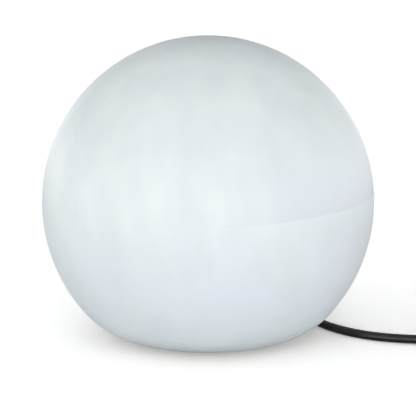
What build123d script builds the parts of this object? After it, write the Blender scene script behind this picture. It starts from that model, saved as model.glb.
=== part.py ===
from build123d import *
import math
import os

# Garden globe light: a rotomoulded polyethylene globe with a flattened underside, closed by a screwed base
# plate that carries the cable gland, the lampholder and the bulb, with its rubber cord and mains plug.
# Millimetres. The origin is on the ground under the globe's centre, +Z is up, the cord leaves at +Y.

os.makedirs("parts", exist_ok=True)

# ---------------------------------------------------------------- driving dimensions
# Globe
globe_radius = 150.0
base_round = 69.0              # rounding between the sphere and its flat underside
base_land = 4.0                # flat ring that the globe stands over, around the recess
stand_height = 1.0             # the feet hold the moulding this far off the ground
wall = 3.0
recess_radius = 57.0           # the base plate goes up into this recess
ledge_height = 23.0            # underside of the ledge that the gasket seals against
ledge_width = 12.0             # from the recess to the opening through the ledge
boss_height = 11.0
boss_radius = 5.5

# Base plate
plate_gap = 0.5
flange_thickness = 3.5
gasket_thickness = 2.0
rim_wall = 2.5
rim_height = 3.0               # lower edge of the rim above the ground
well_length = 40.0
well_offset = 2.0              # of the well's middle, away from the cord
well_width = 40.0
well_floor = 2.5
plate_wall = 2.5
rib_thickness = 2.0
rib_count = 12
screw_count = 3
screw_start = 30.0             # degrees, so that no column stands in the cord's way

# Fasteners between plate and globe
screw_radius = 2.0
screw_length = 20.0
screw_head_radius = 3.8
screw_head_height = 2.6
screw_clearance = 0.3
counterbore_radius = 4.1
counterbore_depth = 8.0
insert_radius = 3.2
insert_length = 10.0
foot_height = 3.0
foot_plug = 4.2

# Cord and its entry
cord_radius = 4.0
cord_height = 12.5             # axis of the cable entry above the ground
channel_width = 12.0
channel_clearance = 2.2        # over the cord where it passes under the flange
spigot_radius = 7.9
spigot_length = 10.0
seal_radius = 5.5
nut_across_flats = 19.0
nut_hex_length = 8.0
nut_length = 16.0              # hexagon and dome
tail_length = 18.0             # tapered bend protector on the nut
tail_start_radius = 5.6
tail_end_radius = 4.8
tail_slots = 4
tail_web = 0.6                 # left over the cord under the tail's slots
nut_start = 1.0                # gap between plate wall and nut
fit_gap = 0.15                 # sheath in its holes
core_radius = 1.25
core_offset = 1.9              # from the cord's axis to each core's axis
bend_radius = 7.0              # of the cores' turn up to the lampholder
splay_radius = 3.0             # of the live cores' turns out to the terminals
sheath_end = 8.0               # where the sheath is stripped, from the lamp's axis
clamp_width = 24.0
clamp_length = 6.0
clamp_rise = 3.0               # of the bar over the sheath
clamp_gap = 0.6                # the bar stays this far above its saddle, so that it grips
clamp_screw_radius = 1.25
clamp_screw_length = 12.0
clamp_screw_place = 8.5        # from the sheath's axis

# Lampholder and its bracket
bracket_width = 20.0
bracket_span = 52.0
bracket_thickness = 1.5
bracket_height = 15.0          # of its legs above the plate
bracket_foot = 12.0
bracket_screw_radius = 1.5
bracket_screw_length = 10.0
bracket_boss_radius = 3.5
earth_screw_radius = 1.8
earth_screw_length = 7.0
earth_screw_drop = 5.0         # of the earth screw under the bracket's top
lug_thickness = 0.8
lug_width = 7.0
lug_barrel = 6.0
nipple_radius = 5.0
nipple_bore = 3.8
nipple_length = 16.0
nipple_nut_flats = 14.0
nipple_nut_height = 3.5
holder_radius = 20.0
holder_wall = 2.0
cap_height = 24.5
skirt_height = 36.0
block_height = 7.0
shell_radius = 13.5            # inside of the screw shell
shell_thickness = 0.6
shell_height = 23.0
contact_travel = 3.0           # of the sprung contact above the block
contact_head_radius = 4.5
contact_head = 1.5
contact_stem_radius = 1.5
contact_stem = 12.0
stem_gap = 0.06                # running fit of the stem in the block
spring_radius = 3.3
spring_wire = 0.3              # radius of the wire
spring_turns = 4
spring_pit_radius = 4.8
spring_pit = 5.0
terminal_place = 8.6           # from the lamp's axis
terminal_size = 6.0
terminal_height = 6.5
terminal_screw_radius = 1.2
terminal_screw_length = 2.0

# Bulb
bulb_cap_radius = 13.2
bulb_cap_height = 23.0
bulb_cap_wall = 0.5
bulb_tip_radius = 4.5
bulb_tip_height = 1.2
bulb_insulator_height = 3.2
bulb_neck_radius = 13.6
bulb_shoulder_radius = 26.8    # where the diffuser sits on the housing
bulb_housing_height = 40.0
bulb_radius = 30.0
bulb_wall = 1.2
dome_facets = 6                # straight bands of the diffuser's inside
board_radius = 24.0
board_thickness = 1.6
chip_count = 12
chip_size = 3.0
chip_circle = 17.0

# Put-away coil, its ties, and the plug
coil_x = 280.0
coil_arrival = -46.0           # the cord reaches the coil on this line
coil_ease = 0.2                # radians over which the spiral turns back
coil_straight = 8.0            # the wound cord ends in straights of one diameter
coil_inner = 37.5              # to the centre of the innermost turn
coil_pitch = 8.8               # from turn to turn and from layer to layer
coil_layers = 4
turns_per_layer = 2.0625
tie_width = 12.0
tie_thickness = 1.0
tie_gap = 0.3
tie_angles = (120, 310)
plug_x = 338.0
plug_start = 86.0
plug_radius = 19.0
plug_front = 17.0
plug_grip = 22.0
plug_relief = 26.0
plug_tip_radius = 6.0
plug_neck_radius = 7.5
plug_grip_radius = 13.0
relief_slots = 5
clip_width = 8.0
clip_thickness = 1.2
clip_depth = 2.5               # of the earth clip's slot in the plug's side
pin_radius = 2.4
pin_root_radius = 2.2          # of the part moulded into the plug
pin_root_depth = 12.0
pin_root_proud = 0.4           # the root ends this far outside the plug's face
pin_tip = 0.8                  # chamfer
pin_length = 19.0
pin_spacing = 19.0

# ---------------------------------------------------------------- worked out from them
base_flat_radius = recess_radius + base_land
mouth_radius = recess_radius - ledge_width
flange_top = ledge_height - gasket_thickness
flange_bottom = flange_top - flange_thickness
plate_radius = recess_radius - plate_gap
screw_circle = (mouth_radius + plate_radius) / 2
column_radius = (plate_radius - mouth_radius) / 2
centre_drop = math.sqrt((globe_radius - base_round) ** 2 - base_flat_radius ** 2)
round_height = stand_height + base_round
centre_height = round_height + centre_drop
tangent_angle = -math.degrees(math.atan2(centre_drop, base_flat_radius))
well_wall = well_length / 2 - well_offset
spigot_start = well_wall + plate_wall
nut_base = spigot_start + nut_start
dome_end = nut_base + nut_length
nut_face = dome_end + tail_length
nut_corner = nut_across_flats / math.sqrt(3)
clamp_middle = (sheath_end + well_wall) / 2
bracket_screw_place = bracket_span / 2 + bracket_thickness + bracket_foot / 2
pilot_gap = 0.05
bracket_top = flange_top + bracket_height
holder_base = bracket_top + bracket_thickness
block_base = holder_base + cap_height
contact_top = block_base + block_height + contact_travel
body_gap = 0.3
bulb_tip_base = contact_top + body_gap


def export(name, builder):
    """Label one finished piece and write its STEP file."""
    builder.part.label = name
    export_step(builder.part, f"parts/{name}.step")


def globe_outline(inset):
    """Half outline of the globe, moved in by inset: crown, rounding and flat underside."""
    rounding = CenterArc((base_flat_radius, round_height), base_round - inset, -90, tangent_angle + 90)
    crown = CenterArc((0, centre_height), globe_radius - inset, tangent_angle, 90 - tangent_angle)
    return rounding, crown


def arch(width, top):
    """Add an upright opening with a rounded top to the sketch, standing on the ground."""
    Rectangle(width, top - width / 2, align=(Align.CENTER, Align.MIN))
    with Locations((0, top - width / 2)):
        Circle(width / 2)


# ---------------------------------------------------------------- globe shell
channel_top = cord_height + cord_radius + channel_clearance

with BuildPart() as channel_wall:
    with BuildSketch(Plane.XZ.offset(-recess_radius)):
        arch(channel_width + 2 * wall, channel_top + wall)
    extrude(amount=-globe_radius)
    with BuildSketch(Plane.XZ):
        with BuildLine():
            outer_round, outer_crown = globe_outline(0)
            Line(outer_round @ 0, (0, stand_height))
            Line((0, stand_height), outer_crown @ 1)
        make_face()
    revolve(axis=Axis.Z, mode=Mode.INTERSECT)

with BuildPart() as globe_shell:
    with BuildSketch(Plane.XZ):
        with BuildLine():
            outer_round, outer_crown = globe_outline(0)
            inner_round, inner_crown = globe_outline(wall)
            Polyline(
                outer_round @ 0,
                (recess_radius, stand_height),
                (recess_radius, ledge_height),
                (mouth_radius, ledge_height),
                (mouth_radius, ledge_height + wall),
                (recess_radius + wall, ledge_height + wall),
                (recess_radius + wall, stand_height + wall),
                inner_round @ 0,
            )
            Line(inner_crown @ 1, outer_crown @ 1)
        make_face()
    revolve(axis=Axis.Z)
    # Cable channel through the rounding at the back
    add(channel_wall.part)
    with BuildSketch(Plane.XZ.offset(-(mouth_radius + recess_radius) / 2)):
        arch(channel_width, channel_top)
    extrude(amount=-globe_radius, mode=Mode.SUBTRACT)
    # Bosses for the threaded inserts
    with BuildSketch(Plane.XY.offset(ledge_height + wall)):
        with PolarLocations(screw_circle, screw_count, start_angle=screw_start):
            Circle(boss_radius)
    extrude(amount=boss_height)
    with BuildSketch(Plane.XY.offset(ledge_height)):
        with PolarLocations(screw_circle, screw_count, start_angle=screw_start):
            Circle(insert_radius)
    extrude(amount=insert_length, mode=Mode.SUBTRACT)
    with BuildSketch(Plane.XY.offset(ledge_height + insert_length)):
        with PolarLocations(screw_circle, screw_count, start_angle=screw_start):
            Circle(screw_radius + screw_clearance)
    extrude(amount=wall + boss_height - insert_length - 1.0, mode=Mode.SUBTRACT)
export("globe_shell", globe_shell)

with BuildPart() as threaded_inserts:
    with BuildSketch(Plane.XY.offset(ledge_height)):
        with PolarLocations(screw_circle, screw_count, start_angle=screw_start):
            Circle(insert_radius)
            Circle(screw_radius + screw_clearance, mode=Mode.SUBTRACT)
    extrude(amount=insert_length)
export("threaded_inserts", threaded_inserts)

# ---------------------------------------------------------------- base plate
housing_width = 2 * nut_corner + 3.0
housing_top = cord_height + nut_corner + 1.0
housing_end = dome_end + 0.5

with BuildPart() as base_plate:
    with BuildSketch(Plane.XY.offset(flange_bottom)):
        Circle(plate_radius)
    extrude(amount=flange_thickness)
    with BuildSketch(Plane.XY.offset(rim_height)):
        Circle(plate_radius)
        Circle(plate_radius - rim_wall, mode=Mode.SUBTRACT)
    extrude(amount=flange_bottom - rim_height)
    # Stiffening ribs from the well to the rim
    with BuildSketch(Plane.XY.offset(rim_height + plate_wall)):
        with PolarLocations(0, rib_count):
            Rectangle(plate_radius - rim_wall / 2, rib_thickness, align=(Align.MIN, Align.CENTER))
    extrude(amount=flange_bottom - rim_height - plate_wall)
    # Columns that the screws and the feet go up into
    with BuildSketch(Plane.XY.offset(rim_height)):
        with PolarLocations(screw_circle, screw_count, start_angle=screw_start):
            Circle(column_radius)
    extrude(amount=flange_bottom - rim_height)
    # Well that takes the stripped end of the cord
    with BuildSketch(Plane.XY.offset(rim_height)):
        with Locations((0, -well_offset)):
            RectangleRounded(well_width + 2 * plate_wall, well_length + 2 * plate_wall, 6.0)
    extrude(amount=flange_top - rim_height)
    with BuildSketch(Plane.XY.offset(rim_height + well_floor)):
        with Locations((0, -well_offset)):
            RectangleRounded(well_width, well_length, 3.5)
    extrude(amount=flange_top - rim_height, mode=Mode.SUBTRACT)
    # Saddle under the stripped end of the cord, and bosses for the bracket's screws
    with BuildSketch(Plane.XY.offset(rim_height + well_floor / 2)):
        with Locations((0, clamp_middle)):
            Rectangle(clamp_width, clamp_length)
    extrude(amount=cord_height - rim_height - well_floor / 2)
    with BuildSketch(Plane.XY.offset(flange_top - bracket_screw_length - plate_wall)):
        with Locations((bracket_screw_place, 0), (-bracket_screw_place, 0)):
            Circle(bracket_boss_radius)
    extrude(amount=bracket_screw_length + plate_wall)
    with BuildSketch(Plane.XY.offset(flange_top)):
        with Locations((bracket_screw_place, 0), (-bracket_screw_place, 0)):
            Circle(bracket_screw_radius + pilot_gap)
    extrude(amount=-bracket_screw_length, mode=Mode.SUBTRACT)
    with BuildSketch(Plane.XY.offset(cord_height)):
        with Locations((clamp_screw_place, clamp_middle), (-clamp_screw_place, clamp_middle)):
            Circle(clamp_screw_radius + pilot_gap)
    extrude(amount=-(clamp_screw_length - clamp_rise - cord_radius), mode=Mode.SUBTRACT)
    with BuildSketch(Plane.XZ.offset(-sheath_end)):
        with Locations((0, cord_height)):
            Circle(cord_radius + fit_gap)
    extrude(amount=-clamp_length * 2, mode=Mode.SUBTRACT)
    # Housing over the cable entry, and the open way under the flange to the rim
    with BuildSketch(Plane.XZ.offset(-well_wall)):
        with Locations((0, rim_height)):
            Rectangle(housing_width + 2 * plate_wall, housing_top + plate_wall - rim_height,
                      align=(Align.CENTER, Align.MIN))
    extrude(amount=-(housing_end + plate_wall - well_wall))
    with BuildSketch(Plane.XZ.offset(-spigot_start)):
        Rectangle(housing_width, housing_top, align=(Align.CENTER, Align.MIN))
    extrude(amount=-(housing_end - spigot_start), mode=Mode.SUBTRACT)
    with BuildSketch(Plane.XZ.offset(-(housing_end - 1.0))):
        arch(channel_width, channel_top)
    extrude(amount=-plate_radius, mode=Mode.SUBTRACT)
    # Spigot of the cable entry, with its bore for the seal and the cord
    with BuildSketch(Plane.XZ.offset(-well_wall)):
        with Locations((0, cord_height)):
            Circle(spigot_radius)
    extrude(amount=-(plate_wall + spigot_length))
    with BuildSketch(Plane.XZ.offset(-(spigot_start + 1.0))):
        with Locations((0, cord_height)):
            Circle(seal_radius)
    extrude(amount=-spigot_length, mode=Mode.SUBTRACT)
    with BuildSketch(Plane.XZ.offset(-(well_wall - 1.0))):
        with Locations((0, cord_height)):
            Circle(cord_radius + fit_gap)
    extrude(amount=-(spigot_length + plate_wall), mode=Mode.SUBTRACT)
    # Screw holes and the counterbores that the heads and the feet go into
    with BuildSketch(Plane.XY.offset(rim_height)):
        with PolarLocations(screw_circle, screw_count, start_angle=screw_start):
            Circle(counterbore_radius)
    extrude(amount=counterbore_depth, mode=Mode.SUBTRACT)
    with BuildSketch(Plane.XY.offset(rim_height + counterbore_depth)):
        with PolarLocations(screw_circle, screw_count, start_angle=screw_start):
            Circle(screw_radius + screw_clearance)
    extrude(amount=flange_top, mode=Mode.SUBTRACT)
export("base_plate", base_plate)

with BuildPart() as base_gasket:
    with BuildSketch(Plane.XY.offset(flange_top)):
        Circle(plate_radius)
        Circle(mouth_radius + plate_gap, mode=Mode.SUBTRACT)
        with PolarLocations(screw_circle, screw_count, start_angle=screw_start):
            Circle(screw_radius + screw_clearance, mode=Mode.SUBTRACT)
    extrude(amount=gasket_thickness)
export("base_gasket", base_gasket)


def pan_screw(head_radius, head_height, shank_radius, shank_length):
    """Pan-head screw with a cross recess, its shank along +Z from the head's underside at the origin."""
    with BuildPart() as screw:
        with BuildSketch(Plane.XZ):
            with BuildLine():
                Polyline(
                    (0, -head_height),
                    (head_radius * 0.75, -head_height),
                    (head_radius, -head_height / 2),
                    (head_radius, 0),
                    (shank_radius, 0),
                    (shank_radius, shank_length - shank_radius),
                    (shank_radius / 2, shank_length),
                    (0, shank_length),
                    close=True,
                )
            make_face()
        revolve(axis=Axis.Z)
        with BuildSketch(Plane.XY.offset(-head_height)):
            Rectangle(head_radius, head_radius / 4)
            Rectangle(head_radius / 4, head_radius)
        extrude(amount=head_height / 2, mode=Mode.SUBTRACT)
    return screw.part


base_screw = pan_screw(screw_head_radius, screw_head_height, screw_radius, screw_length)
with BuildPart() as base_screws:
    with Locations((0, 0, rim_height + counterbore_depth)):
        with PolarLocations(screw_circle, screw_count, start_angle=screw_start):
            add(base_screw)
export("base_screws", base_screws)

with BuildPart() as rubber_feet:
    with BuildSketch():
        with PolarLocations(screw_circle, screw_count, start_angle=screw_start):
            Circle(column_radius)
    extrude(amount=foot_height)
    with BuildSketch(Plane.XY.offset(foot_height)):
        with PolarLocations(screw_circle, screw_count, start_angle=screw_start):
            Circle(counterbore_radius - fit_gap)
    extrude(amount=foot_plug)
export("rubber_feet", rubber_feet)

# ---------------------------------------------------------------- cable entry and the cord inside
with BuildPart() as gland_seal:
    with BuildSketch(Plane.XZ.offset(-(spigot_start + 1.0))):
        with Locations((0, cord_height)):
            Circle(seal_radius - pilot_gap)
            Circle(cord_radius + pilot_gap, mode=Mode.SUBTRACT)
    extrude(amount=-(spigot_length - 1.0))
export("gland_seal", gland_seal)

cord_axis = Axis((0, 0, cord_height), (0, 1, 0))
hex_end = nut_base + nut_hex_length
dome_radius = nut_across_flats / 2 - 0.5
slot_pitch = tail_length / (tail_slots + 1)

with BuildPart() as gland_nut:
    with BuildSketch(Plane.XZ.offset(-nut_base)):
        with Locations((0, cord_height)):
            RegularPolygon(nut_across_flats / 2, 6, major_radius=False)
    extrude(amount=-nut_hex_length)
    with BuildSketch(Plane.YZ):
        with BuildLine():
            Polyline(
                (hex_end, cord_height + dome_radius),
                (hex_end, cord_height),
                (nut_face, cord_height),
                (nut_face, cord_height + tail_end_radius),
                (dome_end, cord_height + tail_start_radius),
            )
            RadiusArc(
                (dome_end, cord_height + tail_start_radius),
                (hex_end, cord_height + dome_radius),
                -nut_length,
            )
        make_face()
    revolve(axis=cord_axis)
    # Ring slots that let the tail bend with the cord
    for slot in range(tail_slots):
        with BuildSketch(Plane.XZ.offset(-(dome_end + slot_pitch * (slot + 1)))):
            with Locations((0, cord_height)):
                Circle(dome_radius)
                Circle(cord_radius + tail_web, mode=Mode.SUBTRACT)
        extrude(amount=slot_pitch / 6, both=True, mode=Mode.SUBTRACT)
    with BuildSketch(Plane.XZ.offset(-nut_base)):
        with Locations((0, cord_height)):
            Circle(spigot_radius + pilot_gap)
    extrude(amount=-(spigot_length - nut_start + 0.5), mode=Mode.SUBTRACT)
    with BuildSketch(Plane.XZ.offset(-nut_base)):
        with Locations((0, cord_height)):
            Circle(cord_radius + fit_gap)
    extrude(amount=-(nut_length + tail_length), mode=Mode.SUBTRACT)
export("gland_nut", gland_nut)

with BuildPart() as inner_lead:
    with BuildSketch(Plane.XZ.offset(-sheath_end)):
        with Locations((0, cord_height)):
            Circle(cord_radius)
    extrude(amount=-(nut_face - sheath_end))
export("inner_lead", inner_lead)

clamp_top = cord_height + cord_radius + clamp_rise
with BuildPart() as cord_clamp:
    with BuildSketch(Plane.XZ.offset(-(clamp_middle - clamp_length / 2))):
        with Locations((0, cord_height + clamp_gap)):
            Rectangle(clamp_width, clamp_top - cord_height - clamp_gap, align=(Align.CENTER, Align.MIN))
    extrude(amount=-clamp_length)
    fillet(cord_clamp.edges().filter_by(Axis.Y).group_by(Axis.Z)[-1], radius=clamp_rise / 2)
    with BuildSketch(Plane.XZ.offset(-(clamp_middle - clamp_length))):
        with Locations((0, cord_height)):
            Circle(cord_radius + pilot_gap)
    extrude(amount=-clamp_length * 2, mode=Mode.SUBTRACT)
    with BuildSketch(Plane.XY.offset(cord_height)):
        with Locations((clamp_screw_place, clamp_middle), (-clamp_screw_place, clamp_middle)):
            Circle(clamp_screw_radius + pilot_gap)
    extrude(amount=clamp_top, mode=Mode.SUBTRACT)
export("cord_clamp", cord_clamp)

clamp_screw = pan_screw(clamp_screw_radius * 1.9, clamp_screw_radius * 1.2, clamp_screw_radius,
                        clamp_screw_length)
with BuildPart() as clamp_screws:
    for side in (-1, 1):
        with Locations(Location((side * clamp_screw_place, clamp_middle, clamp_top), (180, 0, 0))):
            add(clamp_screw)
export("clamp_screws", clamp_screws)

# ---------------------------------------------------------------- bracket and lampholder
bracket_foot_end = bracket_span / 2 + bracket_thickness + bracket_foot
earth_screw_height = bracket_top - earth_screw_drop
earth_core_height = cord_height + 2 * bend_radius
lug_face = bracket_span / 2 - lug_thickness - lug_barrel

with BuildPart() as lampholder_bracket:
    with BuildSketch(Plane.XZ.offset(-bracket_width / 2)):
        with BuildLine():
            Polyline(
                (0, bracket_top + bracket_thickness),
                (bracket_span / 2 + bracket_thickness, bracket_top + bracket_thickness),
                (bracket_span / 2 + bracket_thickness, flange_top + bracket_thickness),
                (bracket_foot_end, flange_top + bracket_thickness),
                (bracket_foot_end, flange_top),
                (bracket_span / 2, flange_top),
                (bracket_span / 2, bracket_top),
                (0, bracket_top),
                close=True,
            )
        make_face()
        mirror(about=Plane.YZ)
    extrude(amount=bracket_width)
    fillet(lampholder_bracket.edges().filter_by(Axis.Y).group_by(Axis.Z)[-1], radius=2 * bracket_thickness)
    with BuildSketch(Plane.XY.offset(bracket_top)):
        Circle(nipple_radius + pilot_gap)
    extrude(amount=bracket_thickness, mode=Mode.SUBTRACT)
    with BuildSketch(Plane.XY.offset(flange_top)):
        with Locations((bracket_screw_place, 0), (-bracket_screw_place, 0)):
            Circle(bracket_screw_radius + screw_clearance)
    extrude(amount=bracket_thickness, mode=Mode.SUBTRACT)
    with BuildSketch(Plane.YZ.offset(bracket_span / 2)):
        with Locations((core_offset, earth_screw_height)):
            Circle(earth_screw_radius + pilot_gap)
    extrude(amount=bracket_thickness, mode=Mode.SUBTRACT)
export("lampholder_bracket", lampholder_bracket)

bracket_screw = pan_screw(bracket_screw_radius * 1.9, bracket_screw_radius * 1.2, bracket_screw_radius,
                          bracket_screw_length)
with BuildPart() as bracket_screws:
    for side in (-1, 1):
        with Locations(Location((side * bracket_screw_place, 0, flange_top + bracket_thickness), (180, 0, 0))):
            add(bracket_screw)
export("bracket_screws", bracket_screws)

# The earth lug's ring lies on the bracket's leg, its barrel takes the core from the middle
with BuildPart() as earth_lug:
    with BuildSketch(Plane.YZ.offset(bracket_span / 2 - lug_thickness)):
        with Locations((core_offset, earth_screw_height)):
            Circle(lug_width / 2)
        with Locations((core_offset, (earth_screw_height + earth_core_height) / 2)):
            Rectangle(2 * core_radius + 2.0, earth_screw_height - earth_core_height)
        with Locations((core_offset, earth_core_height)):
            Circle(core_radius + 1.0)
        with Locations((core_offset, earth_screw_height)):
            Circle(earth_screw_radius + pilot_gap, mode=Mode.SUBTRACT)
    extrude(amount=lug_thickness)
    with BuildSketch(Plane.YZ.offset(lug_face)):
        with Locations((core_offset, earth_core_height)):
            Circle(core_radius + 0.4)
    extrude(amount=lug_barrel)
export("earth_lug", earth_lug)

earth_screw_part = pan_screw(earth_screw_radius * 1.4, earth_screw_radius, earth_screw_radius,
                             earth_screw_length)
with BuildPart() as earth_screw:
    with Locations(Location((bracket_span / 2 - lug_thickness, core_offset, earth_screw_height), (0, 90, 0))):
        add(earth_screw_part)
    with BuildSketch(Plane.YZ.offset(bracket_span / 2 + bracket_thickness)):
        with Locations((core_offset, earth_screw_height)):
            RegularPolygon(earth_screw_radius * 1.8, 6, major_radius=False)
    extrude(amount=earth_screw_radius * 1.4)
export("earth_screw", earth_screw)

nipple_base = bracket_top - nipple_nut_height - 1.0
with BuildPart() as lampholder_nipple:
    with BuildSketch(Plane.XY.offset(nipple_base)):
        Circle(nipple_radius)
        Circle(nipple_bore, mode=Mode.SUBTRACT)
    extrude(amount=nipple_length)
export("lampholder_nipple", lampholder_nipple)

with BuildPart() as nipple_nuts:
    for nut_level in (bracket_top - nipple_nut_height, holder_base + holder_wall):
        with BuildSketch(Plane.XY.offset(nut_level)):
            RegularPolygon(nipple_nut_flats / 2, 6, major_radius=False)
            Circle(nipple_radius + pilot_gap, mode=Mode.SUBTRACT)
        extrude(amount=nipple_nut_height)
export("nipple_nuts", nipple_nuts)

cap_floor_radius = holder_radius * 0.55
dome_rise = cap_height * 0.52
with BuildPart() as lampholder_cap:
    with BuildSketch(Plane.XZ):
        with BuildLine():
            Line((nipple_radius + pilot_gap, holder_base), (cap_floor_radius, holder_base))
            RadiusArc((cap_floor_radius, holder_base), (holder_radius, holder_base + dome_rise), -dome_rise * 1.1)
            Polyline(
                (holder_radius, holder_base + dome_rise),
                (holder_radius, block_base),
                (holder_radius - holder_wall, block_base),
                (holder_radius - holder_wall, holder_base + dome_rise),
                (cap_floor_radius - holder_wall / 2, holder_base + holder_wall),
                (nipple_radius + pilot_gap, holder_base + holder_wall),
                (nipple_radius + pilot_gap, holder_base),
            )
        make_face()
    revolve(axis=Axis.Z)
export("lampholder_cap", lampholder_cap)

skirt_bore = shell_radius + shell_thickness + 0.1
block_radius = holder_radius - holder_wall - 0.1
skirt_top_radius = holder_radius - 1.5
with BuildPart() as lampholder_skirt:
    with BuildSketch(Plane.XZ):
        with BuildLine():
            Polyline(
                (holder_radius - holder_wall, block_base),
                (holder_radius, block_base),
                (skirt_top_radius, block_base + skirt_height),
                (skirt_bore + 0.8, block_base + skirt_height),
                (skirt_bore, block_base + skirt_height - 1.5),
                (skirt_bore, block_base + block_height + 0.2),
                (holder_radius - holder_wall, block_base + block_height + 0.2),
                close=True,
            )
        make_face()
    revolve(axis=Axis.Z)
export("lampholder_skirt", lampholder_skirt)

with BuildPart() as contact_block:
    with BuildSketch(Plane.XY.offset(block_base)):
        Circle(block_radius)
        Circle(contact_stem_radius + stem_gap, mode=Mode.SUBTRACT)
    extrude(amount=block_height)
    with BuildSketch(Plane.XY.offset(block_base + block_height - spring_pit)):
        Circle(spring_pit_radius)
    extrude(amount=spring_pit, mode=Mode.SUBTRACT)
export("contact_block", contact_block)

with BuildPart() as screw_shell:
    with BuildSketch(Plane.XY.offset(block_base + block_height)):
        Circle(shell_radius + shell_thickness)
        Circle(contact_head_radius + 1.5, mode=Mode.SUBTRACT)
    extrude(amount=shell_thickness)
    with BuildSketch(Plane.XY.offset(block_base + block_height)):
        Circle(shell_radius + shell_thickness)
        Circle(shell_radius, mode=Mode.SUBTRACT)
    extrude(amount=shell_height)
export("screw_shell", screw_shell)

with BuildPart() as centre_contact:
    with BuildSketch(Plane.XY.offset(contact_top - contact_head)):
        Circle(contact_head_radius)
    extrude(amount=contact_head)
    with BuildSketch(Plane.XY.offset(contact_top - contact_stem)):
        Circle(contact_stem_radius)
    extrude(amount=contact_stem)
export("centre_contact", centre_contact)

live_core_drop = core_offset / 2
live_core_side = core_offset * math.cos(math.radians(30))
terminal_base = block_base - terminal_height
terminal_screw_height = block_base - terminal_height / 2

with BuildPart() as terminal_clamps:
    with BuildSketch(Plane.XY.offset(terminal_base)):
        with Locations((terminal_place, -live_core_drop), (-terminal_place, -live_core_drop)):
            Rectangle(terminal_size, terminal_size)
    extrude(amount=terminal_height)
    fillet(terminal_clamps.edges().filter_by(Axis.Z), radius=0.8)
    with BuildSketch(Plane.YZ.offset(-terminal_place - terminal_size)):
        with Locations((-live_core_drop, terminal_screw_height)):
            Circle(terminal_screw_radius + pilot_gap)
    extrude(amount=2 * (terminal_place + terminal_size), mode=Mode.SUBTRACT)
export("terminal_clamps", terminal_clamps)

terminal_screw = pan_screw(terminal_screw_radius * 1.6, terminal_screw_radius, terminal_screw_radius,
                           terminal_screw_length)
with BuildPart() as terminal_screws:
    for side in (-1, 1):
        outer_face = side * (terminal_place + terminal_size / 2)
        with Locations(Location((outer_face, -live_core_drop, terminal_screw_height), (0, -90 * side, 0))):
            add(terminal_screw)
export("terminal_screws", terminal_screws)

# The live cores bend up out of the sheath, rise through the nipple and splay out to the terminals
for core_name, side in (("core_brown", -1), ("core_blue", 1)):
    core_level = cord_height - live_core_drop
    splay_start = nipple_base + nipple_length + splay_radius / 2
    with BuildPart() as live_core:
        with BuildLine():
            FilletPolyline(
                (side * live_core_side, sheath_end, core_level),
                (side * live_core_side, -live_core_drop, core_level),
                (side * live_core_side, -live_core_drop, splay_start),
                (side * terminal_place, -live_core_drop, splay_start + 4.0),
                (side * terminal_place, -live_core_drop, terminal_base),
                radius=[bend_radius + live_core_drop, splay_radius, splay_radius],
            )
        with BuildSketch(Plane.XZ.offset(-sheath_end)):
            with Locations((side * live_core_side, core_level)):
                Circle(core_radius)
        sweep()
    export(core_name, live_core)

# The earth core turns off under the nipple to its lug on the bracket
with BuildPart() as core_earth:
    with BuildLine():
        FilletPolyline(
            (0, sheath_end, cord_height + core_offset),
            (0, core_offset, cord_height + core_offset),
            (0, core_offset, earth_core_height),
            (lug_face, core_offset, earth_core_height),
            radius=[bend_radius - core_offset, bend_radius - core_offset],
        )
    with BuildSketch(Plane.XZ.offset(-sheath_end)):
        with Locations((0, cord_height + core_offset)):
            Circle(core_radius)
    sweep()
export("core_earth", core_earth)


def biarc(start, start_way, end, end_way):
    """Add two arcs to the line, from start to end, that leave and arrive in the given unit directions."""
    chord = end - start
    ways = start_way + end_way
    opening = 2 * (1 - start_way.dot(end_way))
    along = chord.dot(ways)
    reach = (math.sqrt(along ** 2 + opening * chord.dot(chord)) - along) / opening
    joint = (start + start_way * reach + end - end_way * reach) * 0.5
    TangentArc(start, joint, tangent=start_way)
    TangentArc(joint, end, tangent=joint - (start + start_way * reach))


def wind(place, quarters):
    """Add quarter turns of a winding to the line; place gives the point after an angle of winding."""
    step = 0.001
    for quarter in range(quarters):
        ends = []
        for angle in (quarter * math.pi / 2, (quarter + 1) * math.pi / 2):
            ends += [place(angle), (place(angle + step) - place(angle - step)).normalized()]
        biarc(*ends)


# Small coil spring under the centre contact, in the pit of the contact block
spring_base = block_base + block_height - spring_pit + spring_wire
spring_rise = contact_top - contact_head - spring_wire - spring_base


def spring_place(angle):
    """Centre of the spring's wire after the given angle."""
    level = spring_base + spring_rise * angle / (2 * math.pi * spring_turns)
    return Vector(spring_radius * math.cos(angle), spring_radius * math.sin(angle), level)


spring_slope = spring_rise / spring_turns / (2 * math.pi * spring_radius)
with BuildPart() as contact_spring:
    with BuildLine():
        wind(spring_place, 4 * spring_turns)
    with BuildSketch(Plane(origin=spring_place(0), z_dir=(0, 1, spring_slope))):
        RegularPolygon(spring_wire, 6)
    sweep()
export("contact_spring", contact_spring)

# ---------------------------------------------------------------- bulb
with BuildPart() as bulb_tip:
    with BuildSketch(Plane.XY.offset(bulb_tip_base)):
        Circle(bulb_tip_radius)
    extrude(amount=bulb_tip_height)
export("bulb_tip", bulb_tip)

insulator_base = bulb_tip_base + bulb_tip_height
bulb_cap_base = insulator_base + bulb_insulator_height
with BuildPart() as bulb_insulator:
    with BuildSketch(Plane.XY.offset(insulator_base)):
        Circle(bulb_tip_radius + 1.0)
    with BuildSketch(Plane.XY.offset(bulb_cap_base)):
        Circle(bulb_cap_radius - 1.0)
    loft()
export("bulb_insulator", bulb_insulator)

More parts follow.
